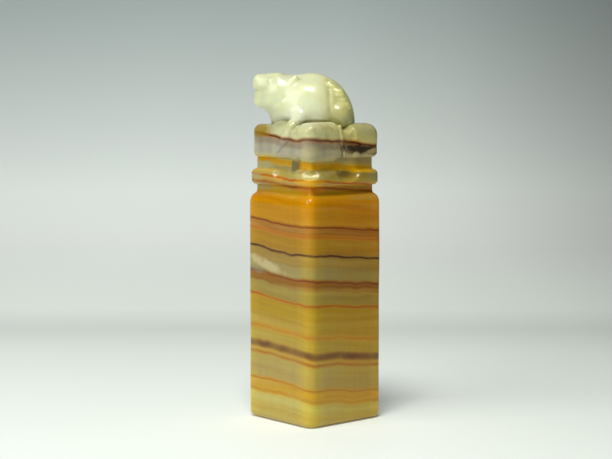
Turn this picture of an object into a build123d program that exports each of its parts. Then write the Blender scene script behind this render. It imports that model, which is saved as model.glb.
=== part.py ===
from build123d import *
import math
import os

# A square stone seal: a banded column, two saw-cut necks, and a crouching beast on a thick plinth.
# All sizes are millimetres. The foot stands on the origin with +Z up.
# The beast lies along a diagonal of the plinth, with its muzzle over the corner of -X and +Y.

# Column
foot_side = 25.0
shoulder_draw_in = 0.25
corner_radius = 2.5
face_height = 3.0
shaft_height = 55.4
foot_rounding = 1.7
shoulder_chamfer = 1.5

# Printing face: a border and a square spiral in each quarter
relief_depth = 0.8
groove_width = 1.0
ridge_width = 1.0
border_width = 1.1
spiral_turns = 2

# Necks left by the saw cuts, and the collar between them
lower_cut_depth = 1.4
lower_neck_height = 1.8
collar_set_back = 0.1
collar_height = 4.0
collar_top_rounding = 0.9
collar_bottom_rounding = 0.8
scoop_radius = 4.2
scoop_depth = 2.6
scoop_bite = 1.6
scoop_shares = (0.05, 0.1, 0.05, 0.1)
upper_cut_depth = 1.5
upper_neck_height = 3.0
post_diameter = 3.2
post_stand_out = 1.3
post_from_front = 6.5

# Plinth and the rock forms on its rim
plinth_set_back = 0.2
plinth_height = 8.4
plinth_top_rounding = 2.0
plinth_bottom_rounding = 1.3
lobe_stand_out = 0.35
lobe_drop = 0.6
lobe_rise = 1.3
lobe_top_rounding = 2.1
lobe_bottom_rounding = 0.8
knob_rise = 0.9
knob_depth = 5.6
left_knob_depth = 2.6
knob_rounding = 1.7
# Corners of the rock forms in plan, from the corner of -X and -Y of the plinth
front_lobe_shares = ((0.0, 0.0), (0.45, 0.25))
right_knob_shares = ((0.63, 0.0), (1.0, 0.34))
left_knob_shares = ((0.0, 0.433), (0.235, 0.67))
back_knob_shares = ((0.74, 0.64), (1.0, 1.0))

# Beast: a torso, and smaller forms placed by their centres, forward, to the left and up from the plinth
torso_radii = (11.2, 7.2, 12.3)
torso_forward = 1.0
torso_rise = 0.9
head_back = 3.0
head_length = 12.7
head_width = 9.4
head_bottom = 1.3
head_height = 11.3
# Sections of the head from the neck to the nose: how far along, how wide, lowest and highest
head_shares = ((0.0, 1.0, 0.0, 0.98), (0.5, 1.0, 0.1, 1.0), (0.82, 0.7, 0.23, 0.99), (1.0, 0.4, 0.4, 0.88))
head_rounding_share = 0.32
mouth_rise = 8.6
mouth_radius = 0.8
jaw_back = 7.7
ear_radii = (1.7, 1.0, 2.1)
ear_place = (6.4, 4.7, 10.4)
ear_lean = -28.0
shoulder_radii = (4.7, 2.8, 4.2)
shoulder_place = (-0.4, 5.4, 5.3)
haunch_radii = (3.6, 3.3, 4.6)
haunch_place = (-6.2, 4.1, 3.4)
tail_radius = 1.2
tail_side = 2.2
tail_root = (-9.4, 0.8)
tail_middle = (-8.0, 6.6)
tail_tip = (-4.2, 10.7)

# Forelegs: from the shoulder over the rim of the plinth and down its side
leg_radius = 1.25
leg_bend_radius = 1.2
leg_shoulder = (2.0, 5.0, 5.6)
leg_rise_over_rim = 0.4
leg_before_rim = 3.1
leg_over_rim = 1.3
leg_bend_from_middle = 3.7
leg_bend_height = 6.0
leg_paw_from_middle = 0.6
leg_paw_height = 1.9
leg_stand_out = 0.4

# Sides of the blank, one drawn in from the other, and heights from the foot up
shoulder_side = foot_side - 2 * shoulder_draw_in
collar_side = shoulder_side - 2 * collar_set_back
plinth_side = shoulder_side - 2 * plinth_set_back
lower_neck_side = collar_side - 2 * lower_cut_depth
upper_neck_side = collar_side - 2 * upper_cut_depth
neck_radius = corner_radius - upper_cut_depth
shaft_top = face_height + shaft_height
collar_bottom = shaft_top + lower_neck_height
collar_top = collar_bottom + collar_height
plinth_bottom = collar_top + upper_neck_height
plinth_top = plinth_bottom + plinth_height

taper_angle = math.degrees(math.atan2((foot_side - shoulder_side) / 2, shaft_top))
beast_plane = Plane(origin=(0, 0, plinth_top), x_dir=(-1, 1, 0), z_dir=(0, 0, 1))


def side_at(height):
    """The side of the tapered column at a height."""
    return foot_side - (foot_side - shoulder_side) * height / shaft_top


def radius_at(height):
    """The rounding of the column's upright edges at a height."""
    return corner_radius - (foot_side - side_at(height)) / 2


def outer_edges(part, top):
    """The outline of a block's top or bottom face."""
    flat = part.faces().filter_by(Axis.Z).sort_by(Axis.Z)[-1 if top else 0]
    return flat.outer_wire().edges()


def column_block(bottom, top):
    """A stretch of the tapered column."""
    with BuildPart() as block:
        with BuildSketch(Plane.XY.offset(bottom)):
            RectangleRounded(side_at(bottom), side_at(bottom), radius_at(bottom))
        extrude(amount=top - bottom, taper=taper_angle)
    return block.part


def square_block(bottom, top, side, radius):
    """An upright square block with rounded upright edges."""
    with BuildPart() as block:
        with BuildSketch(Plane.XY.offset(bottom)):
            RectangleRounded(side, side, radius)
        extrude(amount=top - bottom)
    return block.part


def rim_block(shares, bottom, top, upright_rounding, top_rounding, bottom_rounding=0, stand_out=0):
    """A rock form on the rim between two corners in plan, rounded upright and around its top."""
    low, high = (Vector(plinth_side * (x - 0.5), plinth_side * (y - 0.5)) for x, y in shares)
    low = low - Vector(stand_out, stand_out)
    size = high - low
    with BuildPart() as block:
        with BuildSketch(Plane.XY.offset(bottom)):
            with Locations((low + high) / 2):
                RectangleRounded(size.X, size.Y, upright_rounding)
        extrude(amount=top - bottom)
        fillet(outer_edges(block.part, True), top_rounding)
        if bottom_rounding > 0:
            fillet(outer_edges(block.part, False), bottom_rounding)
    return block.part


def egg(place, radii, side=1, lean=0):
    """A swollen form in the beast's frame: forward, left and up, leaning forward by an angle."""
    with BuildPart() as ball:
        Sphere(1)
        scale(by=radii)
    with BuildPart(beast_plane) as form:
        with Locations(Location((place[0], side * place[1], place[2]), (0, lean, 0))):
            add(ball.part)
    return form.part


def tube(points, radius, bend_radius):
    """A round limb along straight runs joined by arcs, with round ends."""
    with BuildPart() as limb:
        with BuildLine():
            route = FilletPolyline(*points, radius=bend_radius)
        with BuildSketch(Plane(origin=route @ 0, z_dir=route % 0)):
            Circle(radius)
        sweep()
        for end in (points[0], points[-1]):
            with Locations(end):
                Sphere(radius)
    return limb.part


def foreleg(side):
    """A foreleg: out of the shoulder, over the rim and down the side of the plinth."""
    out = leg_radius - leg_stand_out - plinth_side / 2
    points = [
        beast_plane.from_local_coords(Vector(leg_shoulder)),
        Vector(out + leg_before_rim, -leg_bend_from_middle, plinth_top + leg_rise_over_rim + leg_radius / 2),
        Vector(out + leg_over_rim, -leg_bend_from_middle, plinth_top + leg_rise_over_rim - leg_radius / 2),
        Vector(out, -leg_bend_from_middle, plinth_bottom + leg_bend_height),
        Vector(out, leg_paw_from_middle, plinth_bottom + leg_paw_height),
    ]
    if side < 0:
        points = [Vector(-p.Y, -p.X, p.Z) for p in points]
    return tube(points, leg_radius, leg_bend_radius)


def square_spiral(half_reach, pitch):
    """The runs of one square spiral groove: the middle of each, and how far it goes along X and Y."""
    x = -half_reach
    y = -half_reach
    run = 2 * half_reach
    heading = (1, 0)
    for index in range(4 * spiral_turns):
        if index > 2 and index % 2 == 1:
            run = run - pitch
        step_x = heading[0] * run
        step_y = heading[1] * run
        yield (x + step_x / 2, y + step_y / 2), (abs(step_x), abs(step_y))
        x = x + step_x
        y = y + step_y
        heading = (-heading[1], heading[0])


# Foot block with the printing face
with BuildPart() as seal_face:
    add(column_block(0, face_height))
    fillet(outer_edges(seal_face.part, False), foot_rounding)
    quarter = foot_side / 2 - foot_rounding - border_width
    spiral_reach = (quarter - ridge_width / 2 - groove_width) / 2
    spiral_middle = (quarter + ridge_width / 2) / 2
    with BuildSketch():
        with PolarLocations(0, 4):
            for middle, reach in square_spiral(spiral_reach, groove_width + ridge_width):
                with Locations((spiral_middle + middle[0], spiral_middle + middle[1])):
                    Rectangle(reach[0] + groove_width, reach[1] + groove_width)
    extrude(amount=relief_depth, mode=Mode.SUBTRACT)

# Long banded column
with BuildPart() as shaft:
    add(column_block(face_height, shaft_top))
    chamfer(outer_edges(shaft.part, True), shoulder_chamfer)

# Square necks left by the two saw cuts
with BuildPart() as lower_neck:
    add(square_block(shaft_top, collar_bottom, lower_neck_side, neck_radius))

with BuildPart() as upper_neck:
    add(square_block(collar_top, plinth_bottom, upper_neck_side, neck_radius))

# Collar between the necks, with a scoop carved out of the upper edge of each side
with BuildPart() as lower_collar:
    add(square_block(collar_bottom, collar_top, collar_side, corner_radius))
    fillet(outer_edges(lower_collar.part, False), collar_bottom_rounding)
    fillet(outer_edges(lower_collar.part, True), collar_top_rounding)
    for turn, share in enumerate(scoop_shares):
        with PolarLocations(0, 1, start_angle=90 * turn):
            reach = collar_side / 2 - scoop_bite + scoop_radius
            with Locations((reach, share * collar_side, collar_top - scoop_depth + scoop_radius)):
                Sphere(scoop_radius, mode=Mode.SUBTRACT)

# Small round post that bridges the upper groove
with BuildPart() as neck_post:
    post_x = -upper_neck_side / 2 - post_stand_out + post_diameter / 2
    with BuildSketch(Plane.XY.offset(collar_top)):
        with Locations((post_x, -plinth_side / 2 + post_from_front)):
            Circle(post_diameter / 2)
    extrude(amount=upper_neck_height)
    add(upper_neck.part, mode=Mode.SUBTRACT)

# Beast, the larger forms cutting the smaller ones
with BuildPart() as beast_body:
    add(egg((torso_forward, 0, torso_rise), torso_radii))
    split(bisect_by=Plane.XY.offset(plinth_top), keep=Keep.TOP)

# Head, lofted from the neck to the nose, with a round notch across the front for the mouth
with BuildPart() as whole_head:
    for along, wide, low, high in head_shares:
        middle = head_bottom + head_height * (low + high) / 2
        centre = beast_plane.from_local_coords(Vector(head_back + head_length * along, 0, middle))
        width = head_width * wide
        height = head_height * (high - low)
        with BuildSketch(Plane(origin=centre, x_dir=beast_plane.y_dir, z_dir=beast_plane.x_dir)):
            RectangleRounded(width, height, head_rounding_share * min(width, height))
    loft()
    mouth_corner = beast_plane.from_local_coords(Vector(head_back + head_length, 0, mouth_rise))
    with BuildSketch(Plane(origin=mouth_corner, z_dir=beast_plane.y_dir)):
        Circle(mouth_radius)
    extrude(amount=head_width / 2, both=True, mode=Mode.SUBTRACT)

# Lower jaw, split off along the mouth
with BuildPart() as lower_jaw:
    add(whole_head.part)
    split(bisect_by=Plane(origin=mouth_corner), keep=Keep.BOTTOM)
    jaw_end = beast_plane.from_local_coords(Vector(head_back + jaw_back, 0, mouth_rise))
    split(bisect_by=Plane(origin=jaw_end, z_dir=beast_plane.x_dir), keep=Keep.TOP)
    add(beast_body.part, mode=Mode.SUBTRACT)

with BuildPart() as beast_head:
    add(whole_head.part)
    for larger in (beast_body, lower_jaw):
        add(larger.part, mode=Mode.SUBTRACT)

# Shoulder, haunch, ear and foreleg of each side
limbs = {}
for side, word in ((1, "left"), (-1, "right")):
    with BuildPart() as shoulder:
        add(egg(shoulder_place, shoulder_radii, side))
        add(beast_body.part, mode=Mode.SUBTRACT)
    limbs[word + "_shoulder"] = shoulder.part

    with BuildPart() as haunch:
        add(egg(haunch_place, haunch_radii, side))
        split(bisect_by=Plane.XY.offset(plinth_top), keep=Keep.TOP)
        for larger in (beast_body.part, shoulder.part):
            add(larger, mode=Mode.SUBTRACT)
    limbs[word + "_haunch"] = haunch.part

    with BuildPart() as ear:
        add(egg(ear_place, ear_radii, side, ear_lean))
        for larger in (beast_body.part, beast_head.part, shoulder.part):
            add(larger, mode=Mode.SUBTRACT)
    limbs[word + "_ear"] = ear.part

    with BuildPart() as leg:
        add(foreleg(side))
        for larger in (beast_body.part, beast_head.part, shoulder.part):
            add(larger, mode=Mode.SUBTRACT)
    limbs[word + "_foreleg"] = leg.part

# Tail, lying up the left side of the rump
with BuildPart() as tail:
    ends = [beast_plane.from_local_coords(Vector(forward, tail_side, up))
            for forward, up in (tail_root, tail_middle, tail_tip)]
    with BuildLine():
        curl = ThreePointArc(*ends)
    with BuildSketch(Plane(origin=curl @ 0, z_dir=curl % 0)):
        Circle(tail_radius)
    sweep()
    with Locations(ends[-1]):
        Sphere(tail_radius)
    split(bisect_by=Plane.XY.offset(plinth_top), keep=Keep.TOP)
    for larger in (beast_body.part, limbs["left_haunch"], limbs["right_haunch"]):
        add(larger, mode=Mode.SUBTRACT)

# Raised rock forms on the rim, each cut by the beast that lies on them
knob_bottom = plinth_top - knob_depth
knob_top = plinth_top + knob_rise
rim_forms = {
    "front_lobe": rim_block(front_lobe_shares, plinth_bottom - lobe_drop, plinth_top + lobe_rise, corner_radius,
                            lobe_top_rounding, lobe_bottom_rounding, lobe_stand_out),
    "right_knob": rim_block(right_knob_shares, knob_bottom, knob_top, corner_radius, knob_rounding),
    "back_knob": rim_block(back_knob_shares, knob_bottom, knob_top, corner_radius, knob_rounding),
    "left_knob": rim_block(left_knob_shares, plinth_top - left_knob_depth, knob_top, knob_rounding, knob_rounding),
}
lying = [beast_body.part, beast_head.part, lower_jaw.part, tail.part] + list(limbs.values())
rocks = {}
for name, raw in rim_forms.items():
    with BuildPart() as rock:
        add(raw)
        for larger in lying + [upper_neck.part, neck_post.part]:
            add(larger, mode=Mode.SUBTRACT)
    rocks[name] = rock.part

# Thick slab that the rock forms and forelegs lie in
with BuildPart() as plinth:
    add(square_block(plinth_bottom, plinth_top, plinth_side, corner_radius))
    fillet(outer_edges(plinth.part, False), plinth_bottom_rounding)
    fillet(outer_edges(plinth.part, True), plinth_top_rounding)
    for cutter in list(rocks.values()) + [limbs["left_foreleg"], limbs["right_foreleg"]]:
        add(cutter, mode=Mode.SUBTRACT)

pieces = {
    "seal_face": seal_face.part,
    "shaft": shaft.part,
    "lower_neck": lower_neck.part,
    "lower_collar": lower_collar.part,
    "upper_neck": upper_neck.part,
    "neck_post": neck_post.part,
    "plinth": plinth.part,
    "beast_body": beast_body.part,
    "beast_head": beast_head.part,
    "lower_jaw": lower_jaw.part,
    "tail": tail.part,
}
pieces.update(rocks)
pieces.update(limbs)

os.makedirs("parts", exist_ok=True)
for name, part in pieces.items():
    part.label = name
    export_step(part, "parts/" + name + ".step")
    print(name, round(part.volume, 3), part.is_valid, len(part.solids()))
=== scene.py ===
import math

import bpy
import numpy as np
import openvdb
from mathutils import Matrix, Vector


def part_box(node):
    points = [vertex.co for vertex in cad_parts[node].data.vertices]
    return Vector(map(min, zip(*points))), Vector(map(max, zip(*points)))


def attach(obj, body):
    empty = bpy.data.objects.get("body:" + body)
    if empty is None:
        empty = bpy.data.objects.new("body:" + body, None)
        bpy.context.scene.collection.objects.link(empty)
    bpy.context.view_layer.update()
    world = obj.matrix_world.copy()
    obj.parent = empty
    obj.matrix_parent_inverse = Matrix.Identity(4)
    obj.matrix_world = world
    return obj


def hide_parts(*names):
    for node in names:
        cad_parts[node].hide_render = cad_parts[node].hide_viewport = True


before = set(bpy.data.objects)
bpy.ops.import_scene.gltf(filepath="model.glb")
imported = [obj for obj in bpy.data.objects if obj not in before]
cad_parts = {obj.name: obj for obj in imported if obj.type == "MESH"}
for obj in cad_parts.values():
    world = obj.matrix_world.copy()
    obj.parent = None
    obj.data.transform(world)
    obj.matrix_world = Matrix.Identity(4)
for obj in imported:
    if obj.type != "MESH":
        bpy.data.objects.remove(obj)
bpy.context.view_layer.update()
MM = 0.001
ROOT_HALF = math.sqrt(0.5)


# Heights and sides of the stone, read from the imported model, in millimetres

def node_box(node):
    """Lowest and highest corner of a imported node, in millimetres."""
    low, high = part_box(node)
    return Vector(low) / MM, Vector(high) / MM


FOOT_HIGH = node_box("seal_face")[1]
SHAFT_HIGH = node_box("shaft")[1]
LOWER_NECK_LOW, LOWER_NECK_HIGH = node_box("lower_neck")
COLLAR_LOW, COLLAR_HIGH = node_box("lower_collar")
UPPER_NECK_HIGH = node_box("upper_neck")[1]
POST_LOW, POST_HIGH = node_box("neck_post")
PLINTH_LOW, PLINTH_HIGH = node_box("plinth")
PLINTH_TOP = PLINTH_HIGH.z


# Signed distances in millimetres: negative inside the stone

# Smallest slope that an egg's distance is divided by, so that its centre doesn't divide by zero
LEAST_SLOPE = 1e-4
# Grid steps that the distance holds on each side of the surface
SKIN_STEPS = 3.0
# Two crossed waves of the hand polishing: shares of the wave number across and up, and of the phase in each
RIPPLES = ((1.0, 0.83, 1.0, 2.1), (0.71, 0.47, 1.7, 1.0))


class Space:
    """Grid points around the axis, with the beast's own directions: forward, to its left and up."""

    def __init__(self, reach, bottom, top, step):
        low, high = (-reach, -reach, bottom), (reach, reach, top)
        self.low = np.array(low, dtype=np.float32)
        self.step = step
        count = [int(math.ceil((b - a) / step)) + 1 for a, b in zip(low, high)]
        axes = [a + step * np.arange(n, dtype=np.float32) for a, n in zip(low, count)]
        self.x, self.y, self.z = np.meshgrid(*axes, indexing="ij", sparse=True)
        self.forward = ROOT_HALF * (self.y - self.x)
        self.left = -ROOT_HALF * (self.x + self.y)
        self.up = self.z - PLINTH_TOP


def join(a, b, blend):
    """Union of two forms with a smooth fillet."""
    h = np.maximum(blend - np.abs(a - b), 0.0) / blend
    return np.minimum(a, b) - h * h * blend / 4


def carve(a, b, blend):
    """The first form with the second cut out of it, with a softened edge."""
    return -join(-a, b, blend)


def egg(x, y, z, centre, radii):
    """An ellipsoid; x, y and z are any three crossed directions."""
    px, py, pz = (p - c for p, c in zip((x, y, z), centre))
    near = np.sqrt((px / radii[0]) ** 2 + (py / radii[1]) ** 2 + (pz / radii[2]) ** 2)
    slope = np.sqrt((px / radii[0] ** 2) ** 2 + (py / radii[1] ** 2) ** 2 + (pz / radii[2] ** 2) ** 2)
    return near * (near - 1.0) / np.maximum(slope, LEAST_SLOPE)


def limb(x, y, z, start, end, start_radius, end_radius):
    """A round limb that tapers from one point to another."""
    run = [b - a for a, b in zip(start, end)]
    length = sum(r * r for r in run)
    rel = [p - a for p, a in zip((x, y, z), start)]
    along = np.clip(sum(p * r for p, r in zip(rel, run)) / length, 0.0, 1.0)
    away = np.sqrt(sum((p - along * r) ** 2 for p, r in zip(rel, run)))
    return away - (start_radius + (end_radius - start_radius) * along)


def chain(x, y, z, points, radii, blend):
    """Limbs one after the other through a list of points."""
    shape = None
    for index in range(len(points) - 1):
        piece = limb(x, y, z, points[index], points[index + 1], radii[index], radii[index + 1])
        shape = piece if shape is None else join(shape, piece, blend)
    return shape


def block(x, y, z, centre, half, rounding):
    """A box with all its edges rounded."""
    q = [np.abs(p - c) - h + rounding for p, c, h in zip((x, y, z), centre, half)]
    outside = np.sqrt(sum(np.maximum(v, 0.0) ** 2 for v in q))
    inside = np.minimum(np.maximum(np.maximum(q[0], q[1]), q[2]), 0.0)
    return outside + inside - rounding


def square_slab(space, half, upright, bottom, top, edge):
    """A square slab with rounded upright edges and rounded rims; half may vary with height."""
    qx = np.abs(space.x) - half + upright
    qy = np.abs(space.y) - half + upright
    plan = np.sqrt(np.maximum(qx, 0.0) ** 2 + np.maximum(qy, 0.0) ** 2)
    plan = plan + np.minimum(np.maximum(qx, qy), 0.0) - upright + edge
    rise = np.abs(space.z - (bottom + top) / 2) - (top - bottom) / 2 + edge
    outside = np.sqrt(np.maximum(plan, 0.0) ** 2 + np.maximum(rise, 0.0) ** 2)
    return outside + np.minimum(np.maximum(plan, rise), 0.0) - edge


def skin(name, space, distance):
    """A smooth mesh of the surface where the distance is zero."""
    grid = openvdb.FloatGrid(SKIN_STEPS * space.step)
    grid.copyFromArray(np.ascontiguousarray(distance, dtype=np.float32))
    points, quads = grid.convertToQuads(isovalue=0.0)
    points = (points * space.step + space.low) * MM
    mesh = bpy.data.meshes.new(name)
    mesh.from_pydata(points.tolist(), [], quads.tolist())
    mesh.update()
    mesh.polygons.foreach_set("use_smooth", [True] * len(mesh.polygons))
    piece = bpy.data.objects.new(name, mesh)
    bpy.context.scene.collection.objects.link(piece)
    return piece


def ripple(space, size, depth, phase):
    """The slight unevenness of hand polishing, in long soft waves."""
    k = 2 * math.pi / size
    waves = [np.sin(k * wide * across + wide_shift * phase) * np.sin(k * tall * space.z + tall_shift * phase)
             for across, (wide, tall, wide_shift, tall_shift) in zip((space.x, space.y), RIPPLES)]
    return depth * (waves[0] + waves[1]) / 2


# Camera, matched to the photograph

IMAGE_WIDTH = 612
SENSOR = 36.0
FOCAL_PIXELS = 1591.0
AXIS_PIXEL = 314.16
CAMERA_PLACE = Vector((-268.5, -305.9, 84.8))
CAMERA_TURN = -41.26
CAMERA_PITCH = 5.09
CAMERA_CLIP = (0.01, 20.0)

camera_data = bpy.data.cameras.new("camera")
camera_data.sensor_width = SENSOR
camera_data.lens = SENSOR * FOCAL_PIXELS / IMAGE_WIDTH
camera_data.shift_x = (IMAGE_WIDTH / 2 - AXIS_PIXEL) / IMAGE_WIDTH
camera_data.clip_start, camera_data.clip_end = CAMERA_CLIP
camera = bpy.data.objects.new("camera", camera_data)
bpy.context.scene.collection.objects.link(camera)
camera.location = CAMERA_PLACE * MM
camera.rotation_euler = (math.radians(90.0 - CAMERA_PITCH), 0.0, math.radians(CAMERA_TURN))
bpy.context.scene.camera = camera


# Stone

def tone(red, green, blue):
    """A linear colour from display values of 0 to 255."""
    def linear(value):
        value = value / 255
        return value / 12.92 if value <= 0.04045 else ((value + 0.055) / 1.055) ** 2.4
    return linear(red), linear(green), linear(blue), 1.0


# The layers dip a little: a place's height among them is z + LAYER_DIP . (x, y), in millimetres
LAYER_DIP = (0.083, -0.055)

# Ground colour of the layers: name, height where it starts, colour
GROUNDS = (
    ("foot, cream olive", 0.0, (186, 163, 76)),
    ("foot, paler", 3.6, (194, 180, 98)),
    ("tan", 6.9, (194, 152, 31)),
    ("pale grey green", 9.7, (174, 151, 81)),
    ("tan grey", 13.4, (175, 155, 79)),
    ("under the brown band", 16.4, (192, 156, 56)),
    ("cream yellow", 19.1, (175, 150, 53)),
    ("yellow", 22.9, (175, 144, 41)),
    ("yellow olive", 26.0, (172, 138, 13)),
    ("olive grey", 30.8, (157, 136, 61)),
    ("olive tan", 34.0, (140, 93, 15)),
    ("pale cream", 36.9, (155, 138, 82)),
    ("grey cream", 40.0, (155, 126, 56)),
    ("amber brown", 43.4, (170, 128, 20)),
    ("tan pink", 47.9, (161, 104, 22)),
    ("amber", 50.4, (187, 132, 1)),
    ("amber orange", 54.0, (194, 133, 0)),
    ("amber deep", 57.6, (197, 153, 26)),
    ("grey cream of the lower cut", 60.3, (178, 147, 76)),
    ("yellow green of the collar", 61.9, (173, 158, 83)),
    ("pale collar top", 63.4, (160, 145, 86)),
    ("amber of the upper cut", 64.9, (192, 184, 60)),
    ("grey of the upper cut", 66.2, (188, 179, 130)),
    ("taupe grey", 66.9, (171, 166, 147)),
    ("taupe", 69.6, (154, 140, 118)),
    ("pale yellow green", 72.3, (204, 205, 158)),
    ("pale top", 76.0, (222, 226, 194)),
    ("beast", 79.0, (226, 230, 190)),
)

# Seams between the layers: name, height, thickness, softness, colour of the core and of the fringe
SEAMS = (
    ("base amber", 6.5, 0.9, 0.5, (190, 138, 14), (202, 158, 34)),
    ("thin orange", 9.3, 0.3, 0.45, (176, 116, 20), (194, 144, 38)),
    ("lower orange", 15.9, 0.4, 0.55, (170, 108, 22), (184, 132, 40)),
    ("brown band", 18.05, 1.2, 0.7, (110, 70, 26), (140, 94, 34)),
    ("diffuse orange", 22.55, 0.5, 0.9, (186, 126, 20), (194, 144, 36)),
    ("orange red", 30.4, 0.3, 0.4, (160, 84, 4), (190, 114, 10)),
    ("red brown", 36.4, 0.4, 0.45, (116, 58, 8), (164, 96, 14)),
    ("dark purple brown", 42.85, 0.4, 0.25, (68, 38, 6), (136, 82, 12)),
    ("thin orange red", 47.6, 0.3, 0.6, (180, 102, 12), (190, 122, 22)),
    ("thin dark red", 50.0, 0.3, 0.35, (116, 54, 4), (170, 96, 8)),
    ("red of the lower cut", 59.9, 0.6, 0.5, (150, 84, 4), (190, 124, 8)),
    ("orange of the collar", 61.6, 0.35, 0.45, (170, 84, 0), (206, 134, 4)),
    ("amber of the upper groove", 65.5, 1.0, 0.6, (212, 152, 0), (214, 166, 10)),
    ("orange brown of the plinth", 71.85, 0.45, 0.5, (84, 38, 2), (186, 112, 2)),
)

# Waves of the layers: noise scale per millimetre, detail and reach in millimetres
DRIFT = (0.06, 2.0, 0.5)
WOBBLE = (0.3, 1.0, 0.12)
TOP_WAVE = (0.16, 0.5, 0.45)
TOP_WAVE_LAYERS = (62.0, 70.0)
WAVE_FLATNESS = 0.45

# Ground layers: the last one's end, and the softness of all ends as a share of the thickness, up to a limit
GROUNDS_TOP = 95.0
GROUND_SOFTNESS = 0.25
GROUND_SOFT_UP_TO = 1.6

# Fine lines inside the bands, weaker in the pale layers above. The lines and patches below are given as
# noise values where they start and where they are full, strength and colour
STREAKED_LAYERS = (69.5, 66.5)
STREAKS_ABOVE = 0.2
LINE_STRETCH = 0.05
DARK_LINE_SCALE = 0.9
DARK_LINES = (0.45, 0.75, 0.35, (214, 184, 120))
LIGHT_LINE_SCALE = 0.5
LIGHT_LINES = (0.5, 0.3, 0.3, (206, 182, 96))

# Upright fibres: stretch upwards, then noise scale, detail, reach and roughness
FIBRE_STRETCH = 0.12
FIBRES = (0.9, 3.0, 0.04, 0.6)

# Clouds in the taupe layers: stretch upwards, noise scale, detail and roughness, and noise to brightness
CLOUD_STRETCH = 0.15
CLOUD_NOISE = (0.32, 2.0, 0.5)
CLOUD_VALUE = (0.35, 0.65, -0.14, 0.14)
TAUPE_LAYERS = ((66.5, 68.0), (73.0, 71.5))

# Olive veins in the glassy rim of the plinth, and yellower clouds in the pale top
VEIN_NOISE = (0.45, 4.0, 0.6)
VEINS = (0.5, 0.68, 0.45, (150, 144, 84))
RIM_LAYERS = ((72.0, 73.0), (78.5, 76.5))
HAZE_NOISE = (0.2, 3.0, 0.55)
HAZE = (0.5, 0.66, 0.4, (218, 218, 150))
HAZE_LAYERS = (76.5, 78.5)

# Painted shade and painted glow: warmer, darker colour towards the stone's right side, and brighter, yellower
# colour near its upright edges, where |x| + |y| is large
SIDE_SHADE_ACROSS = (0.0, 14.0)
SIDE_SHADE_TINT = (255, 240, 190)
EDGE_GLOW_SPREAD = (19.5, 23.5)
EDGE_GLOW_LAYERS = (71.0, 64.0)
EDGE_GLOW = 0.5
EDGE_GLOW_LIFT = 1.22
EDGE_GLOW_TINT = (255, 248, 110)

# How much a seam's fringe covers, and how a seam comes and goes along its way
FRINGE_COVER = 0.8
WEAR_SCALE = 0.2
WEAR = (0.3, 0.6, 0.7, 1.0)

# Edge of each mark in the table below, as shares of its reach, and the noise scale and detail of its ragged
# outline
MARK_EDGE = (0.6, 1.15)
RAGGED = (0.5, 4.0)
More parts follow.
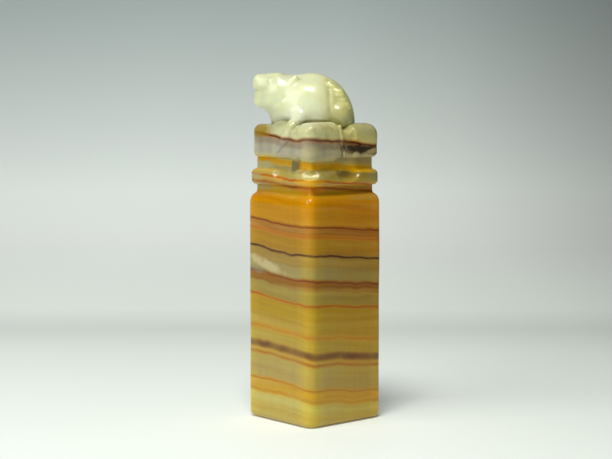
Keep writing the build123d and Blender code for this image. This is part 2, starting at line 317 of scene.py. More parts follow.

# Stains, painted glows and painted shade in one place: name, centre, reach, rise along X and Y, colour,
# raggedness, strength
STAINS_AND_PAINTED_LIGHT = (
    ("dark patch", (6.4, -12.0, 69.3), (9.4, 4.5, 1.2), (-0.09, 0.0), (34, 22, 12), 0.4, 0.92),
    ("pale inclusion", (9.4, -12.0, 68.9), (3.2, 3.0, 0.65), (0.14, 0.0), (176, 154, 104), 0.35, 0.9),
    ("amber rim", (-11.0, 9.5, 74.4), (7.0, 7.5, 2.3), (0.0, 0.0), (146, 116, 20), 0.08, 0.88),
    ("olive left rock", (-9.4, 1.4, 75.6), (3.6, 4.0, 2.2), (0.0, 0.0), (158, 160, 118), 0.06, 0.9),
    ("olive right rock", (8.0, -9.4, 75.0), (7.5, 6.0, 3.6), (0.0, 0.0), (160, 158, 116), 0.08, 0.7),
    # Painted glows: amber light at the front corner of the cuts and of the collar's foot.
    ("painted glow of the upper cut", (-8.6, -8.6, 65.3), (5.0, 5.0, 1.3), (0.0, 0.0), (240, 178, 0), 0.2, 0.6),
    ("painted glow of the collar's foot", (-10.4, -10.4, 61.3), (4.0, 4.0, 1.2), (0.0, 0.0), (236, 176, 0), 0.2, 0.6),
    ("painted glow of the lower cut", (-9.6, -9.6, 59.4), (4.6, 4.6, 1.3), (0.0, 0.0), (226, 134, 0), 0.2, 0.55),
    ("duller head", (-7.6, 7.6, 84.0), (5.4, 5.4, 6.0), (0.0, 0.0), (202, 206, 172), 0.1, 0.8),
    ("grey post", (-11.4, -5.6, 65.6), (2.0, 1.8, 1.9), (0.0, 0.0), (92, 94, 62), 0.1, 0.9),
    ("pale dish of the collar", (-11.6, -11.4, 62.9), (5.2, 5.2, 0.9), (0.0, 0.0), (206, 196, 130), 0.2, 0.6),
    # Painted shade: the deep part of the right scoop darkened.
    ("painted shade in the right scoop", (0.4, -12.2, 63.2), (2.6, 3.0, 0.9), (0.0, 0.0), (104, 84, 34), 0.25, 0.6),
    ("grey end of the collar", (12.0, -12.0, 62.6), (5.0, 4.0, 1.6), (0.0, 0.0), (136, 136, 96), 0.2, 0.6),
    ("grey left of the collar", (-12.0, 10.5, 62.4), (3.0, 5.0, 1.0), (0.0, 0.0), (170, 166, 124), 0.2, 0.6),
    ("amber rim of the collar", (-12.0, 6.0, 64.1), (3.0, 6.5, 0.45), (0.0, 0.0), (206, 158, 30), 0.15, 0.55),
    ("whitish upper cut", (-10.5, 8.0, 65.3), (3.0, 5.4, 1.1), (0.0, 0.0), (186, 178, 128), 0.25, 0.75),
    ("grey lower cut", (-11.0, 8.0, 60.0), (3.0, 5.4, 1.2), (0.0, 0.0), (168, 156, 104), 0.2, 0.65),
    ("pale front corner", (-12.0, -12.0, 69.0), (3.8, 3.8, 2.0), (0.0, 0.0), (184, 176, 134), 0.1, 0.55),
    ("pale right shoulder", (7.0, -12.0, 57.2), (6.0, 3.0, 1.0), (0.0, 0.0), (176, 140, 60), 0.25, 0.5),
    ("whitish streak", (-12.0, 5.0, 40.3), (4.0, 7.5, 1.4), (0.0, 0.24), (206, 196, 152), 0.22, 0.55),
    ("grey under the streak", (-12.0, 8.5, 39.0), (4.0, 4.5, 1.1), (0.0, 0.2), (136, 132, 100), 0.3, 0.6),
    ("rusty speck", (-12.0, 6.0, 41.6), (2.0, 0.9, 1.0), (0.0, 0.0), (176, 108, 40), 0.5, 0.35),
    ("olive haunch", (2.0, -8.6, 77.4), (5.4, 5.4, 4.0), (0.0, 0.0), (176, 176, 112), 0.08, 0.65),
    # Painted shade: olive darkening under the flank's lower edge.
    ("painted shade under the flank", (-5.0, -5.0, 76.1), (5.5, 5.5, 0.9), (0.0, 0.0), (128, 122, 62), 0.2, 0.75),
    ("yellow green rump", (2.6, -6.4, 84.0), (4.6, 4.6, 5.0), (0.0, 0.0), (206, 208, 140), 0.15, 0.6),
    ("white lower flank", (-6.4, -3.6, 79.6), (5.4, 5.4, 3.0), (0.0, 0.0), (236, 240, 212), 0.08, 0.5),
    # Painted shade: grey under the chin, between the head and the foreleg.
    ("painted shade under the throat", (-9.0, 4.4, 77.8), (4.0, 4.0, 2.8), (0.0, 0.0), (200, 200, 164), 0.08, 0.55),
)

# Stops that one colour ramp takes, and the sockets of a colour mix
RAMP_STOPS = 28
MIX_A = 6
MIX_B = 7
MIX_RESULT = 2
# Range that a noise rarely leaves
NOISE_RANGE = (0.3, 0.7)


class Shader:
    """A material's node tree, with one short call for each node."""

    def __init__(self, name):
        self.material = bpy.data.materials.new(name)
        self.material.use_nodes = True
        self.tree = self.material.node_tree
        self.tree.nodes.clear()
        self.output = self.tree.nodes.new("ShaderNodeOutputMaterial")
        self.surface = self.tree.nodes.new("ShaderNodeBsdfPrincipled")
        self.tree.links.new(self.surface.outputs["BSDF"], self.output.inputs["Surface"])

    def put(self, socket, value):
        if isinstance(value, bpy.types.NodeSocket):
            self.tree.links.new(value, socket)
        else:
            socket.default_value = value

    def node(self, kind, inputs, **settings):
        made = self.tree.nodes.new(kind)
        for key, value in settings.items():
            setattr(made, key, value)
        for key, value in inputs.items():
            self.put(made.inputs[key], value)
        return made

    def math(self, operation, a, b=0.0):
        return self.node("ShaderNodeMath", {0: a, 1: b}, operation=operation).outputs[0]

    def vector(self, operation, a, b, output="Vector"):
        return self.node("ShaderNodeVectorMath", {0: a, 1: b}, operation=operation).outputs[output]

    def noise(self, place, scale, detail=2.0, roughness=0.5):
        return self.node("ShaderNodeTexNoise", {"Vector": place, "Scale": scale, "Detail": detail,
                                                "Roughness": roughness}).outputs["Fac"]

    def remap(self, value, low, high, to_low=0.0, to_high=1.0):
        return self.node("ShaderNodeMapRange", {"Value": value, "From Min": low, "From Max": high,
                                                "To Min": to_low, "To Max": to_high}).outputs["Result"]

    def mix(self, share, a, b, blend="MIX"):
        made = self.node("ShaderNodeMix", {0: share}, data_type="RGBA", blend_type=blend)
        self.put(made.inputs[MIX_A], a)
        self.put(made.inputs[MIX_B], b)
        return made.outputs[MIX_RESULT]

    def sway(self, place, scale, detail, reach, roughness=0.5):
        """A noise that goes from -reach to +reach."""
        return self.remap(self.noise(place, scale, detail, roughness), *NOISE_RANGE, -reach, reach)

    def within(self, value, rise, fall):
        """One inside a range and zero outside it, with a pair of values for each soft end."""
        return self.math("MULTIPLY", self.remap(value, *rise), self.remap(value, *fall))

    def patches(self, ground, where, noise, start, full, strength, colour, blend="MIX"):
        """The ground with a colour mixed in where the noise runs from start to full."""
        share = self.math("MULTIPLY", where, self.remap(noise, start, full, 0.0, strength))
        return self.mix(share, ground, tone(*colour), blend)

    def brighten(self, value, colour):
        return self.node("ShaderNodeHueSaturation", {"Value": value, "Color": colour}).outputs["Color"]

    def ramp(self, value, low, high, stops):
        """A colour ramp over a range; each stop is a height and a colour with its alpha."""
        made = self.node("ShaderNodeValToRGB", {"Fac": self.remap(value, low, high)})
        elements = made.color_ramp.elements
        elements.remove(elements[1])
        elements[0].position = (stops[0][0] - low) / (high - low)
        elements[0].color = stops[0][1]
        for height, colour in stops[1:]:
            elements.new(min(1.0, (height - low) / (high - low))).color = colour
        return made


def layered(shader, value, stops):
    """Colour and cover of any number of stops, in as many ramps as they need."""
    colour = cover = None
    for first in range(0, len(stops), RAMP_STOPS):
        some = stops[max(0, first - 1):first + RAMP_STOPS]
        low, high = some[0][0], some[-1][0]
        made = shader.ramp(value, low, high, some)
        if colour is None:
            colour, cover = made.outputs["Color"], made.outputs["Alpha"]
        else:
            above = shader.math("GREATER_THAN", value, low)
            colour = shader.mix(above, colour, made.outputs["Color"])
            cover = shader.node("ShaderNodeMix", {0: above, 2: cover, 3: made.outputs["Alpha"]}).outputs[0]
    return colour, cover


def ground_colour(shader, waved):
    """Ground colour at a height among the layers, plain between soft ends."""
    starts = [start for _, start, _ in GROUNDS]
    stops = []
    for start, end, (_, _, colour) in zip(starts, starts[1:] + [GROUNDS_TOP], GROUNDS):
        soft = GROUND_SOFTNESS * min(GROUND_SOFT_UP_TO, end - start)
        stops.append((start + soft if start else 0.0, tone(*colour)))
        stops.append((end - soft, tone(*colour)))
    return layered(shader, waved, stops)[0]


def fine_layers(shader, place, layer, waved, ground, streaks):
    """The ground with fine lines inside each band, upright fibres, and clouds in the taupe layers."""
    thin = shader.node("ShaderNodeCombineXYZ", {
        "X": shader.vector("DOT_PRODUCT", place, (LINE_STRETCH, 0.0, 0.0), "Value"),
        "Y": shader.vector("DOT_PRODUCT", place, (0.0, LINE_STRETCH, 0.0), "Value"),
        "Z": waved}).outputs[0]
    below = shader.remap(layer, *STREAKED_LAYERS, STREAKS_ABOVE * streaks, streaks)
    ground = shader.patches(ground, below, shader.noise(thin, DARK_LINE_SCALE), *DARK_LINES, "MULTIPLY")
    ground = shader.patches(ground, below, shader.noise(thin, LIGHT_LINE_SCALE), *LIGHT_LINES)
    upright = shader.vector("MULTIPLY", place, (1.0, 1.0, FIBRE_STRETCH))
    fibre = shader.math("MULTIPLY", below, shader.sway(upright, *FIBRES))
    cloudy = shader.vector("MULTIPLY", place, (1.0, 1.0, CLOUD_STRETCH))
    cloud = shader.math("MULTIPLY", shader.within(layer, *TAUPE_LAYERS),
                        shader.remap(shader.noise(cloudy, *CLOUD_NOISE), *CLOUD_VALUE))
    return shader.brighten(shader.math("ADD", shader.math("ADD", fibre, cloud), 1.0), ground)


def painted_side_shade_and_edge_glow(shader, place, layer, ground):
    """The ground with painted shade, warmer and darker, towards the right side, and a painted glow near the
    upright edges.
    """
    apart = shader.node("ShaderNodeSeparateXYZ", {0: place}).outputs
    across = shader.math("SUBTRACT", apart["X"], apart["Y"])
    # Painted shade: darker and warmer towards the right side.
    ground = shader.mix(shader.remap(across, *SIDE_SHADE_ACROSS), ground, tone(*SIDE_SHADE_TINT), "MULTIPLY")
    spread = shader.math("ADD", shader.math("ABSOLUTE", apart["X"]), shader.math("ABSOLUTE", apart["Y"]))
    # Painted glow: brighter and yellower near the upright edges, fading out up the plinth.
    glow = shader.math("MULTIPLY", shader.remap(spread, *EDGE_GLOW_SPREAD),
                       shader.remap(layer, *EDGE_GLOW_LAYERS, 0.0, EDGE_GLOW))
    ground = shader.brighten(shader.remap(glow, 0.0, EDGE_GLOW, 1.0, EDGE_GLOW_LIFT), ground)
    return shader.mix(glow, ground, tone(*EDGE_GLOW_TINT), "MULTIPLY")


def seamed(shader, flat, waved, ground):
    """The ground with the thin seams between the layers."""
    stops = []
    for _, height, thick, soft, core, fringe in SEAMS:
        inner, outer = tone(*core), tone(*fringe)[:3]
        clear, rim = outer + (0.0,), outer + (FRINGE_COVER,)
        stops += [
            (height - thick / 2 - soft, clear),
            (height - thick / 2 - soft / 3, rim),
            (height - thick / 3, inner),
            (height + thick / 3, inner),
            (height + thick / 2 + soft / 3, rim),
            (height + thick / 2 + soft, clear),
        ]
    seam, cover = layered(shader, waved, stops)
    worn = shader.remap(shader.noise(flat, WEAR_SCALE), *WEAR)
    return shader.mix(shader.math("MULTIPLY", cover, worn), ground, seam)


def stains_and_painted_light(shader, place, colour):
    """The colour with the stains, painted glows and painted shade that stay in one place."""
    for _, centre, reach, rise, mark_colour, ragged, strength in STAINS_AND_PAINTED_LIGHT:
        away = shader.vector("SUBTRACT", place, centre)
        drop = shader.vector("DOT_PRODUCT", away, (-rise[0], -rise[1], 0.0), "Value")
        away = shader.vector("ADD", away, shader.node("ShaderNodeCombineXYZ", {"Z": drop}).outputs[0])
        far = shader.vector("LENGTH", shader.vector("DIVIDE", away, reach), (0.0, 0.0, 0.0), "Value")
        far = shader.math("ADD", far, shader.sway(place, *RAGGED, ragged))
        colour = shader.mix(shader.remap(far, *MARK_EDGE, strength, 0.0), colour, tone(*mark_colour))
    return colour


def banded_colour(shader, place, streaks):
    """Colour of the layered stone at each place in it."""
    layer = shader.vector("DOT_PRODUCT", place, LAYER_DIP + (1.0,), "Value")
    flat = shader.vector("MULTIPLY", place, (1.0, 1.0, WAVE_FLATNESS))
    high = shader.math("MULTIPLY", shader.sway(place, *TOP_WAVE), shader.remap(layer, *TOP_WAVE_LAYERS))
    waved = shader.math("ADD", shader.math("ADD", layer, high),
                        shader.math("ADD", shader.sway(flat, *DRIFT), shader.sway(flat, *WOBBLE)))
    ground = fine_layers(shader, place, layer, waved, ground_colour(shader, waved), streaks)
    rim = shader.within(layer, *RIM_LAYERS)
    ground = shader.patches(ground, rim, shader.noise(place, *VEIN_NOISE), *VEINS)
    top = shader.remap(layer, *HAZE_LAYERS)
    ground = shader.patches(ground, top, shader.noise(place, *HAZE_NOISE), *HAZE)
    ground = painted_side_shade_and_edge_glow(shader, place, layer, ground)
    return stains_and_painted_light(shader, place, seamed(shader, flat, waved, ground))


# Hand polish: smears in the roughness and shallow pits, as noise scale, detail and roughness
SMEARS = (0.35, 3.0)
PITS = (1.6, 3.0, 0.55)
PIT_STRENGTH = 0.35
STONE_IOR = 1.54
COAT_ROUGHNESS = 0.06


def stone(name, streaks, subsurface, scale, radius, roughness, specular, pit_depth, coat):
    """A polished stone; scale and depth in millimetres, and roughness as its lowest and highest value."""
    shader = Shader(name)
    metres = shader.node("ShaderNodeTexCoord", {}).outputs["Object"]
    place = shader.vector("MULTIPLY", metres, (1 / MM,) * 3)
    surface = shader.surface.inputs
    shader.put(surface["Base Color"], banded_colour(shader, place, streaks))
    surface["Subsurface Weight"].default_value = subsurface
    surface["Subsurface Scale"].default_value = scale * MM
    surface["Subsurface Radius"].default_value = radius
    surface["IOR"].default_value = STONE_IOR
    surface["Specular IOR Level"].default_value = specular
    surface["Coat Weight"].default_value = coat
    surface["Coat Roughness"].default_value = COAT_ROUGHNESS
    shader.put(surface["Roughness"], shader.remap(shader.noise(place, *SMEARS), *NOISE_RANGE, *roughness))
    bump = shader.node("ShaderNodeBump", {"Strength": PIT_STRENGTH, "Distance": pit_depth * MM,
                                          "Height": shader.noise(place, *PITS)})
    shader.put(surface["Normal"], bump.outputs["Normal"])
    return shader.material


banded_stone = stone("banded_stone", streaks=1.0, subsurface=0.35, scale=0.7, radius=(1.0, 0.6, 0.25),
                     roughness=(0.14, 0.22), specular=0.2, pit_depth=0.1, coat=0.2)
pale_stone = stone("pale_stone", streaks=0.2, subsurface=0.85, scale=2.6, radius=(1.0, 0.9, 0.5),
                   roughness=(0.28, 0.38), specular=0.4, pit_depth=0.03, coat=0.6)


def dress(piece, material, slot, *nodes):
    """Gives a piece its material and its body, and hides the nodes that it stands for."""
    piece.data.materials.append(material)
    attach(piece, "root")
    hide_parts(*nodes)


# Column: foot, printing face, shaft and the lower neck, which runs a little way into the collar

# Grid of the piece: step, reach to each side, and room below and above
COLUMN_STEP = 0.3
COLUMN_REACH = 13.1
COLUMN_ROOM = (0.9, 1.2)
COLUMN_CORNER = 2.5
FOOT_EDGE = 1.7
SHAFT_EDGE = 0.4
SHOULDER_SLOPE = 1.5
SHOULDER_BLEND = 1.0
# How far a form runs on past its end where that end isn't seen
RUN_ON = 20.0
NECK_CORNER = 1.0
NECK_EDGE = 0.2
NECK_FILLET = 0.5
NECK_START = 3.0
NECK_REACH = 0.5
# Ripples of the column: size, depth and phase, none on the flat foot and full a little way above it
COLUMN_RIPPLE = (17.0, 0.07, 0.6)
RIPPLE_FROM = 1.5
RIPPLE_FADE = 3.0
RELIEF_DEPTH = 0.8
RELIEF_EDGE = 0.15
GROOVE = 1.0
RIDGE = 1.0
BORDER = 1.1
SPIRAL_TURNS = 2


def spiral_plan(space):
    """Plan distance to the grooves of the four square spirals."""
    quarter = FOOT_HIGH.x - FOOT_EDGE - BORDER
    reach = (quarter - RIDGE / 2 - GROOVE) / 2
    middle = (quarter + RIDGE / 2) / 2
    best = None
    for turn in range(4):
        angle = turn * math.pi / 2
        u = math.cos(angle) * space.x + math.sin(angle) * space.y - middle
        v = math.cos(angle) * space.y - math.sin(angle) * space.x - middle
        x = y = -reach
        run = 2 * reach
        heading = (1, 0)
        for index in range(4 * SPIRAL_TURNS):
            if index > 2 and index % 2 == 1:
                run = run - GROOVE - RIDGE
            step = (heading[0] * run, heading[1] * run)
            centre = (x + step[0] / 2, y + step[1] / 2)
            half = ((abs(step[0]) + GROOVE) / 2, (abs(step[1]) + GROOVE) / 2)
            bar = np.maximum(np.abs(u - centre[0]) - half[0], np.abs(v - centre[1]) - half[1])
            best = bar if best is None else np.minimum(best, bar)
            x, y = x + step[0], y + step[1]
            heading = (-heading[1], heading[0])
    return best


space = Space(COLUMN_REACH, -COLUMN_ROOM[0], LOWER_NECK_HIGH.z + COLUMN_ROOM[1], COLUMN_STEP)
share = np.clip(space.z / SHAFT_HIGH.z, 0.0, 1.0)
half = FOOT_HIGH.x + (SHAFT_HIGH.x - FOOT_HIGH.x) * share
edge = np.where(space.z < FOOT_HIGH.z, FOOT_EDGE, SHAFT_EDGE)
column = square_slab(space, half, COLUMN_CORNER, 0.0, SHAFT_HIGH.z, edge)
side = square_slab(space, half, COLUMN_CORNER, -RUN_ON, SHAFT_HIGH.z + RUN_ON, 0.0)
slope = (side + space.z - SHAFT_HIGH.z + SHOULDER_SLOPE) * ROOT_HALF
column = carve(column, -slope, SHOULDER_BLEND)
neck = square_slab(space, LOWER_NECK_HIGH.x, NECK_CORNER, LOWER_NECK_LOW.z - NECK_START,
                   LOWER_NECK_HIGH.z + NECK_REACH, NECK_EDGE)
column = join(column, neck, NECK_FILLET)
column = carve(column, np.maximum(spiral_plan(space), space.z - RELIEF_DEPTH), RELIEF_EDGE)
column = column + ripple(space, *COLUMN_RIPPLE) * np.clip((space.z - RIPPLE_FROM) / RIPPLE_FADE, 0.0, 1.0)
piece = skin("column", space, column)
dress(piece, banded_stone, "banded_stone", "seal_face", "shaft", "lower_neck")


# Collar with shallow scoops on its sides and around its front corner, the upper neck and its post

COLLAR_STEP = 0.2
COLLAR_REACH = 13.0
COLLAR_ROOM = (0.8, 1.3)
COLLAR_EDGE_TOP = 1.25
COLLAR_EDGE_BOTTOM = 1.2
COLLAR_CORNER = 2.5
COLLAR_FILLET = 0.6
COLLAR_RIPPLE = (9.0, 0.06, 1.9)
# How far the upper neck and the post start inside the collar, and how far the post runs on above
INSIDE_COLLAR = 1.0
POST_RUN_ON = 1.0
POST_FILLET = 0.7
SCOOP_EDGE = 0.35
# Scoops: centre in plan, turn, reach along and into the side, height of the centre, reach down
SCOOPS = (
    ((-12.5, -0.4), 90.0, 3.2, 2.2, 64.9, 3.3),
    ((-12.0, -11.5), -43.0, 6.2, 2.4, 65.3, 3.3),
    ((0.9, -12.6), 0.0, 4.4, 2.3, 64.7, 3.6),
    ((12.6, 1.0), 90.0, 3.6, 2.2, 65.0, 3.2),
    ((-1.0, 12.6), 0.0, 3.8, 2.2, 65.0, 3.2),
)

space = Space(COLLAR_REACH, COLLAR_LOW.z - COLLAR_ROOM[0], UPPER_NECK_HIGH.z + COLLAR_ROOM[1], COLLAR_STEP)
middle = (COLLAR_LOW.z + COLLAR_HIGH.z) / 2
edge = np.where(space.z > middle, COLLAR_EDGE_TOP, COLLAR_EDGE_BOTTOM)
collar = square_slab(space, COLLAR_HIGH.x, COLLAR_CORNER, COLLAR_LOW.z, COLLAR_HIGH.z, edge)
for place, turn, along, into, height, down in SCOOPS:
    angle = math.radians(turn)
    u = math.cos(angle) * (space.x - place[0]) + math.sin(angle) * (space.y - place[1])
    v = math.cos(angle) * (space.y - place[1]) - math.sin(angle) * (space.x - place[0])
    collar = carve(collar, egg(u, v, space.z, (0.0, 0.0, height), (along, into, down)), SCOOP_EDGE)
neck = square_slab(space, UPPER_NECK_HIGH.x, NECK_CORNER, COLLAR_LOW.z + INSIDE_COLLAR,
                   UPPER_NECK_HIGH.z + NECK_REACH, NECK_EDGE)
post_radius = (POST_HIGH.y - POST_LOW.y) / 2
post_x = POST_LOW.x + post_radius
post_y = (POST_LOW.y + POST_HIGH.y) / 2
post = limb(space.x, space.y, space.z, (post_x, post_y, COLLAR_HIGH.z - INSIDE_COLLAR),
            (post_x, post_y, UPPER_NECK_HIGH.z + POST_RUN_ON), post_radius, post_radius)
post = np.maximum(post, space.z - UPPER_NECK_HIGH.z - NECK_REACH)
collar = join(collar, join(neck, post, POST_FILLET), COLLAR_FILLET)
collar = collar + ripple(space, *COLLAR_RIPPLE)
piece = skin("collar", space, collar)
dress(piece, banded_stone, "banded_stone", "lower_collar", "upper_neck", "neck_post")


# Plinth with the rock forms on its rim

PLINTH_STEP = 0.2
PLINTH_REACH = 13.2
PLINTH_HEIGHTS = (65.6, 78.2)
PLINTH_EDGE_TOP = 2.0
PLINTH_EDGE_BOTTOM = 1.3
# Extra rounding of the upper edge where Y is below zero, from this X on
RIGHT_EDGE_MORE = 0.8
RIGHT_EDGE_FROM = 3.0
PLINTH_CORNER = 2.6
FAR_CORNER = 3.6
PLINTH_RIPPLE = (8.0, 0.07, 0.9)
# Rock forms: centre, half size or radii, and rounding
FRONT_LOBE = ((-6.8, -9.2, 71.35), (5.35, 2.95, 5.0), 2.4)
RIGHT_KNOB = ((7.6, -8.5, 72.4), (4.5, 3.6, 3.45), 3.2)
LEFT_KNOB = ((-8.9, 1.4, 74.5), (3.3, 3.4, 2.1))
BACK_KNOB = ((8.9, 8.0, 73.2), (3.2, 4.1, 3.25), 1.6)
ROCK_BLENDS = (0.35, 0.7, 0.6, 0.7)
# The front lobe falls away from its crest, and stands proud of the slab above a height
LOBE_CREST = -6.0
LOBE_FALL = 0.012
LOBE_PROUD = 0.25
LOBE_PROUD_FROM = 70.0
LOBE_PROUD_RISE = 2.0
# Thin rib at the lobe's right end: ends and radius
RIB = ((-2.3, -12.15, 75.2), (-0.5, -12.0, 67.8))
RIB_RADIUS = 0.4
RIB_BLEND = 0.25
# Recess between the front lobe and the right knob, and the dip above it
RECESS = ((1.0, -12.9, 72.4), (2.3, 1.75, 6.2), 0.7)
RECESS_EDGE = 0.4
DIP = ((1.3, -11.6, 77.0), (2.2, 5.0, 3.6))
DIP_EDGE = 0.8

space = Space(PLINTH_REACH, *PLINTH_HEIGHTS, PLINTH_STEP)
x, y, z = space.x, space.y, space.z
middle = (PLINTH_LOW.z + PLINTH_TOP) / 2
edge_top = PLINTH_EDGE_TOP + RIGHT_EDGE_MORE * ((x > RIGHT_EDGE_FROM) & (y < 0.0))
edge = np.where(z > middle, edge_top, PLINTH_EDGE_BOTTOM)
corner = np.where((x < 0) & (y > 0), FAR_CORNER, PLINTH_CORNER)
plinth = square_slab(space, PLINTH_HIGH.x, corner, PLINTH_LOW.z, PLINTH_TOP, edge)
plinth = carve(plinth, block(x, y, z, *RECESS), RECESS_EDGE)
plinth = carve(plinth, egg(x, y, z, *DIP), DIP_EDGE)
centre, size, rounding = FRONT_LOBE
proud = LOBE_PROUD * np.clip((z - LOBE_PROUD_FROM) / LOBE_PROUD_RISE, 0.0, 1.0)
front_lobe = block(x, y, z + LOBE_FALL * (x - LOBE_CREST) ** 2, centre,
                   (size[0] + proud, size[1] + proud, size[2]), rounding)
front_lobe = join(front_lobe, limb(x, y, z, *RIB, RIB_RADIUS, RIB_RADIUS), RIB_BLEND)
rocks = (front_lobe, block(x, y, z, *RIGHT_KNOB), egg(x, y, z, *LEFT_KNOB), block(x, y, z, *BACK_KNOB))
for rock, blend in zip(rocks, ROCK_BLENDS):
    plinth = join(plinth, rock, blend)
plinth = plinth + ripple(space, *PLINTH_RIPPLE)
piece = skin("plinth_stone", space, plinth)
dress(piece, banded_stone, "banded_stone", "plinth", "front_lobe", "right_knob", "left_knob", "back_knob")


# Beast, in its own directions: forward, to its left and up from the top of the plinth

BEAST_STEP = 0.17
BEAST_REACH = 13.2
BEAST_HEIGHTS = (66.8, 90.2)
BEAST_RIPPLE = (6.0, 0.08, 2.3)
# How deep its underside sits in the plinth, and the fillet where the forelegs join it
SEAT_DEPTH = 0.6
LEG_FILLET = 2.2
# Rounded forms: centre and radii
TORSO = ((0.9, 0.0, 0.8), (11.1, 7.1, 12.15))
CRANIUM = ((8.3, 0.0, 7.4), (5.8, 4.9, 5.1))
CHEST = ((6.2, 0.0, 3.1), (4.1, 4.6, 4.1))
CHEEK = ((8.2, 2.7, 7.2), (3.6, 2.3, 3.6))
FLANK = ((0.9, 4.3, 3.8), (6.0, 3.1, 6.4))
HAUNCH = ((-6.3, 3.9, 2.4), (3.1, 2.8, 3.3))
EAR = ((5.4, 4.0, 10.4), (1.05, 0.75, 1.9))
# The torso is shorter in front of its middle, and the ears lie back
TORSO_SQUEEZE = 1.13
EAR_LEAN = 0.45
# Head in side view: a blunt block for each jaw (centre, half length, half height, rounding)
MUZZLE = ((11.9, 0.0, 10.45), 3.8, 2.15, 1.6)
JAW = ((11.6, 0.0, 6.5), 3.8, 2.05, 1.55)
JAW_NARROWER = 0.1
# Half width of the head, which narrows towards the nose: width at a place, taper and limits
HEAD_WIDTH = 3.3
HEAD_WIDTH_AT = 9.0
HEAD_TAPER = 0.235
HEAD_WIDTH_LIMITS = (1.6, 3.6)
# The underside of the flank arches up from a height, and is cut with a soft edge
FLANK_UNDERSIDE = 0.9
FLANK_ARCH = 0.05
FLANK_ARCH_AT = 0.7
FLANK_EDGE = 0.7
BLENDS = {
    "jaw": 0.9, "cranium": 2.8, "cheek": 2.0, "chest": 2.4, "head": 3.0, "flank": 2.4,
    "haunch": 0.7, "ear": 1.1, "tail bone": 0.6, "tail": 0.5, "nostril": 0.25, "eye": 0.6,
}
# Tail up the left side of the rump, cut across with short strokes
TAIL = ((-8.6, 3.5, 0.6), (-8.1, 3.5, 4.0), (-6.4, 3.5, 7.6), (-3.9, 3.3, 10.0))
TAIL_RADII = (1.2, 1.3, 1.25, 0.9)
STROKE_DEPTH = 0.07
STROKE_SPACING = 1.15
STROKE_SLANT = 0.35
# Crease where the flank ends and the rump falls back, and its lowest, highest and soft end up and aside
RUMP_CREASE = {"at": 4.0, "lean": 0.05, "lean_from": 8.0, "depth": 0.3, "width": 0.55}
RUMP_CREASE_UP = (3.0, 12.0, 1.5)
RUMP_CREASE_ASIDE = (1.8, 12.0, 1.0)
# Mouth line: where it starts, how fast it deepens, height, slope from the nose, depth and width
MOUTH = {"start": 10.5, "run": 4.5, "growth": 1.5, "height": 8.55, "slope": 0.06, "nose": 15.5,
         "depth": 0.25, "width": 0.35}
# Nostrils and eyes: forward, aside, up and radii
NOSTRIL = (15.7, 0.8, 11.2, (0.5, 0.38, 0.42))
EYE = (10.9, 3.2, 11.0, (0.65, 0.4, 0.5))
EYE_RING = {"radius": 1.0, "depth": 0.03, "width": 0.22, "aside": 2.0}
# Crease under the jaw
THROAT = {"up": 5.6, "slope": 0.55, "at": 9.0, "depth": 0.1, "width": 0.7}
THROAT_FORWARD = (6.4, 10.4, 2.0)
THROAT_ASIDE = (1.5, 12.0, 1.0)
# Left foreleg in the stone's own X, Y and Z; the right one is its mirror image
LEG = ((-5.6, -1.6, 77.6), (-8.3, -3.2, 76.4), (-10.5, -3.9, 75.1), (-11.2, -3.0, 72.9), (-11.35, 0.6, 69.2))
LEG_RADII = (1.9, 1.5, 1.5, 1.4, 1.15)
LEG_BLEND = 1.4


def between(value, low, high, soft):
    """One inside a range and zero outside it, with soft ends."""
    return np.clip((value - low) / soft + 0.5, 0.0, 1.0) * np.clip((high - value) / soft + 0.5, 0.0, 1.0)


def crease(line, width, depth, *shares):
    """A soft groove where the line is near zero, made weaker by each share."""
    for share in shares:
        depth = depth * share
    return depth * np.exp(-(line / width) ** 2)


def head_block(space, part, half_width):
    """The upper or lower half of the muzzle, as wide as the head is there."""
    centre, half_length, half_height, rounding = part
    half = (half_length, half_width, half_height)
    return block(space.forward, space.left, space.up, centre, half, rounding)


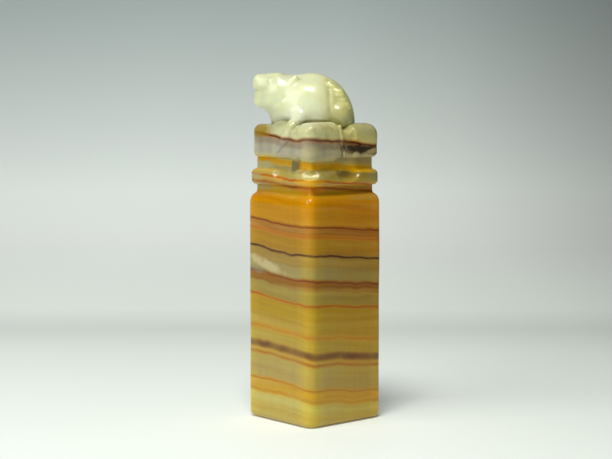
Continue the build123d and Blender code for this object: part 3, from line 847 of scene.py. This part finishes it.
def beast_form(space):
    """The whole beast but its forelegs."""
    s, w, h = space.forward, space.left, space.up
    side = np.abs(w)
    middle = TORSO[0][0]
    torso = egg(np.where(s > middle, middle + TORSO_SQUEEZE * (s - middle), s), w, h, *TORSO)
    narrow = np.clip(HEAD_WIDTH - HEAD_TAPER * (s - HEAD_WIDTH_AT), *HEAD_WIDTH_LIMITS)
    jaw = head_block(space, JAW, narrow - JAW_NARROWER)
    head = join(head_block(space, MUZZLE, narrow), jaw, BLENDS["jaw"])
    head = join(head, egg(s, w, h, *CRANIUM), BLENDS["cranium"])
    head = join(head, egg(s, side, h, *CHEEK), BLENDS["cheek"])
    head = join(head, egg(s, w, h, *CHEST), BLENDS["chest"])
    shape = join(torso, head, BLENDS["head"])

    underside = h - FLANK_UNDERSIDE - FLANK_ARCH * (s - FLANK_ARCH_AT) ** 2
    shape = join(shape, carve(egg(s, side, h, *FLANK), underside, FLANK_EDGE), BLENDS["flank"])
    shape = join(shape, egg(s, side, h, *HAUNCH), BLENDS["haunch"])
    shape = join(shape, egg(s + EAR_LEAN * (h - EAR[0][2]), side, h, *EAR), BLENDS["ear"])

    line = s + RUMP_CREASE["at"] - RUMP_CREASE["lean"] * (h - RUMP_CREASE["lean_from"])
    shape = shape + crease(line, RUMP_CREASE["width"], RUMP_CREASE["depth"],
                           between(h, *RUMP_CREASE_UP), between(side, *RUMP_CREASE_ASIDE))

    strokes = np.sin(2 * math.pi * (h + STROKE_SLANT * w) / STROKE_SPACING)
    tail = chain(s, w, h, TAIL, TAIL_RADII, BLENDS["tail bone"])
    shape = join(shape, tail + STROKE_DEPTH * strokes, BLENDS["tail"])

    mouth = np.clip((s - MOUTH["start"]) / MOUTH["run"], 0.0, 1.0) ** MOUTH["growth"]
    line = h - MOUTH["height"] + MOUTH["slope"] * (s - MOUTH["nose"])
    shape = shape + crease(line, MOUTH["width"], MOUTH["depth"], mouth)
    for sign in (1, -1):
        for (forward, aside, up, radii), change, blend in (
                (NOSTRIL, carve, BLENDS["nostril"]), (EYE, join, BLENDS["eye"])):
            shape = change(shape, egg(s, w, h, (forward, aside * sign, up), radii), blend)
    line = np.sqrt((s - EYE[0]) ** 2 + (h - EYE[2]) ** 2) - EYE_RING["radius"]
    shape = shape + crease(line, EYE_RING["width"], EYE_RING["depth"]) * (side > EYE_RING["aside"])

    line = np.abs((h - THROAT["up"]) + THROAT["slope"] * (s - THROAT["at"]))
    return shape + crease(line, THROAT["width"], THROAT["depth"],
                          between(s, *THROAT_FORWARD), between(side, *THROAT_ASIDE))


def legs_form(space):
    """Both forelegs, which lie down over the front faces of the plinth."""
    legs = [chain(a, b, space.z, LEG, LEG_RADII, LEG_BLEND)
            for a, b in ((space.x, space.y), (-space.y, -space.x))]
    return np.minimum(legs[0], legs[1])


space = Space(BEAST_REACH, *BEAST_HEIGHTS, BEAST_STEP)
# Only the forelegs go below the top of the plinth
beast = np.maximum(beast_form(space), PLINTH_TOP - SEAT_DEPTH - space.z)
beast = join(beast, legs_form(space), LEG_FILLET)
beast = beast + ripple(space, *BEAST_RIPPLE)
piece = skin("beast", space, beast)
dress(piece, pale_stone, "pale_stone", "beast_body", "beast_head", "lower_jaw", "tail",
      "left_ear", "right_ear", "left_shoulder", "right_shoulder",
      "left_haunch", "right_haunch", "left_foreleg", "right_foreleg")


# Stage: a pale cloth over a table that bends up into a wall, in metres

TABLE_NEAR = 0.9
TABLE_FAR = 0.42
SWEEP_RADIUS = 0.3
WALL_HEIGHT = 1.6
STAGE_WIDTH = 3.0
BEND_STEPS = 12
# The camera's direction and the way to its right, both level
VIEW = Vector((math.sin(math.radians(-CAMERA_TURN)), math.cos(math.radians(CAMERA_TURN)), 0.0))
ACROSS = Vector((VIEW.y, -VIEW.x, 0.0))


def sweep_profile():
    """Distance from the middle and height along the table, the bend and the wall."""
    points = [(-TABLE_NEAR, 0.0), (0.0, 0.0), (TABLE_FAR, 0.0)]
    for step in range(1, BEND_STEPS + 1):
        angle = step / BEND_STEPS * math.pi / 2
        points.append((TABLE_FAR + SWEEP_RADIUS * math.sin(angle), SWEEP_RADIUS * (1 - math.cos(angle))))
    points.append((TABLE_FAR + SWEEP_RADIUS, WALL_HEIGHT))
    return points


profile = sweep_profile()
vertices = [VIEW * far + ACROSS * side * STAGE_WIDTH / 2 + Vector((0.0, 0.0, height))
            for far, height in profile for side in (-1, 1)]
faces = [(2 * i, 2 * i + 1, 2 * i + 3, 2 * i + 2) for i in range(len(profile) - 1)]
mesh = bpy.data.meshes.new("studio_sweep")
mesh.from_pydata(vertices, [], faces)
mesh.polygons.foreach_set("use_smooth", [True] * len(mesh.polygons))
sweep = bpy.data.objects.new("studio_sweep", mesh)
bpy.context.scene.collection.objects.link(sweep)

# Painted shading of the cloth along its way, darker at the far edge of the table and up the wall, by the sum
# of the distance from the stone and the height
CLOTH = (
    (-0.05, (248, 255, 250)),
    (0.04, (239, 246, 241)),
    (0.1, (230, 237, 232)),
    (0.15, (215, 222, 217)),
    (0.2, (234, 241, 236)),
    (0.3, (240, 247, 242)),
    (0.45, (252, 255, 253)),
    (0.56, (246, 253, 249)),
    (0.636, (227, 234, 232)),
    (0.744, (196, 205, 203)),
    (0.809, (174, 184, 184)),
    (0.9, (150, 160, 160)),
)
# Painted shade: it darkens to the right, where less light falls and the stone's shadow lies: metres across
# and colour
CLOTH_SHADE_SIDES = (
    (-0.2, (248, 248, 248)),
    (-0.1, (255, 255, 255)),
    (0.02, (255, 255, 255)),
    (0.05, (249, 249, 248)),
    (0.09, (240, 240, 239)),
    (0.165, (210, 210, 209)),
    (0.2, (196, 196, 195)),
)
CLOTH_PAINTED_GLOW = 0.1
CLOTH_ROUGHNESS = 0.55
CLOTH_SPECULAR = 0.2


def cloth_shading(shader, value, table):
    """A table's painted shading at a value."""
    stops = [(at, tone(*colour)) for at, colour in table]
    return shader.ramp(value, table[0][0], table[-1][0], stops).outputs["Color"]



shader = Shader("pale_table")
metres = shader.node("ShaderNodeTexCoord", {}).outputs["Object"]
way = shader.vector("DOT_PRODUCT", metres, (VIEW.x, VIEW.y, 1.0), "Value")
sideways = shader.vector("DOT_PRODUCT", metres, tuple(ACROSS), "Value")
pale = shader.mix(1.0, cloth_shading(shader, way, CLOTH), cloth_shading(shader, sideways, CLOTH_SHADE_SIDES), "MULTIPLY")
shader.put(shader.surface.inputs["Base Color"], pale)
# The cloth also glows with its painted shading: a painted light.
shader.put(shader.surface.inputs["Emission Color"], pale)
shader.surface.inputs["Emission Strength"].default_value = CLOTH_PAINTED_GLOW
shader.surface.inputs["Roughness"].default_value = CLOTH_ROUGHNESS
shader.surface.inputs["Specular IOR Level"].default_value = CLOTH_SPECULAR
mesh.materials.append(shader.material)


# Light: a soft box high on the camera's side, a second one from the left, and pale surroundings

LIT_PLACE = Vector((0.0, 0.0, 0.045))
SURROUNDINGS_LIGHT = 0.07
SURROUNDINGS_SEEN = 0.75


def soft_box(name, towards, elevation, distance, size, power, colour):
    """A square light that looks at the stone from a direction in plan; metres, degrees and watts."""
    data = bpy.data.lights.new(name, "AREA")
    data.shape = "SQUARE"
    data.size = size
    data.energy = power
    data.color = colour
    lamp = bpy.data.objects.new(name, data)
    bpy.context.scene.collection.objects.link(lamp)
    rise = math.radians(elevation)
    away = towards.normalized() * math.cos(rise) + Vector((0, 0, math.sin(rise)))
    lamp.location = LIT_PLACE + distance * away
    lamp.rotation_euler = (LIT_PLACE - lamp.location).to_track_quat("-Z", "Y").to_euler()


soft_box("key_box", -VIEW - 0.2 * ACROSS, elevation=62.0, distance=1.24, size=0.44, power=11.6,
         colour=(1.0, 0.99, 0.95))
soft_box("left_box", -ACROSS - 0.75 * VIEW, elevation=33.0, distance=1.24, size=0.8, power=5.9,
         colour=(1.0, 1.0, 0.98))

# The surroundings light the stone faintly, and look pale where no wall stands behind it
world = bpy.data.worlds.new("surroundings")
world.use_nodes = True
background = world.node_tree.nodes["Background"]
background.inputs["Color"].default_value = tone(226, 234, 230)
seen = world.node_tree.nodes.new("ShaderNodeLightPath").outputs["Is Camera Ray"]
strength = world.node_tree.nodes.new("ShaderNodeMapRange")
strength.inputs["To Min"].default_value = SURROUNDINGS_LIGHT
strength.inputs["To Max"].default_value = SURROUNDINGS_SEEN
world.node_tree.links.new(seen, strength.inputs["Value"])
world.node_tree.links.new(strength.outputs["Result"], background.inputs["Strength"])
bpy.context.scene.world = world
bpy.context.scene.view_settings.view_transform = "Standard"
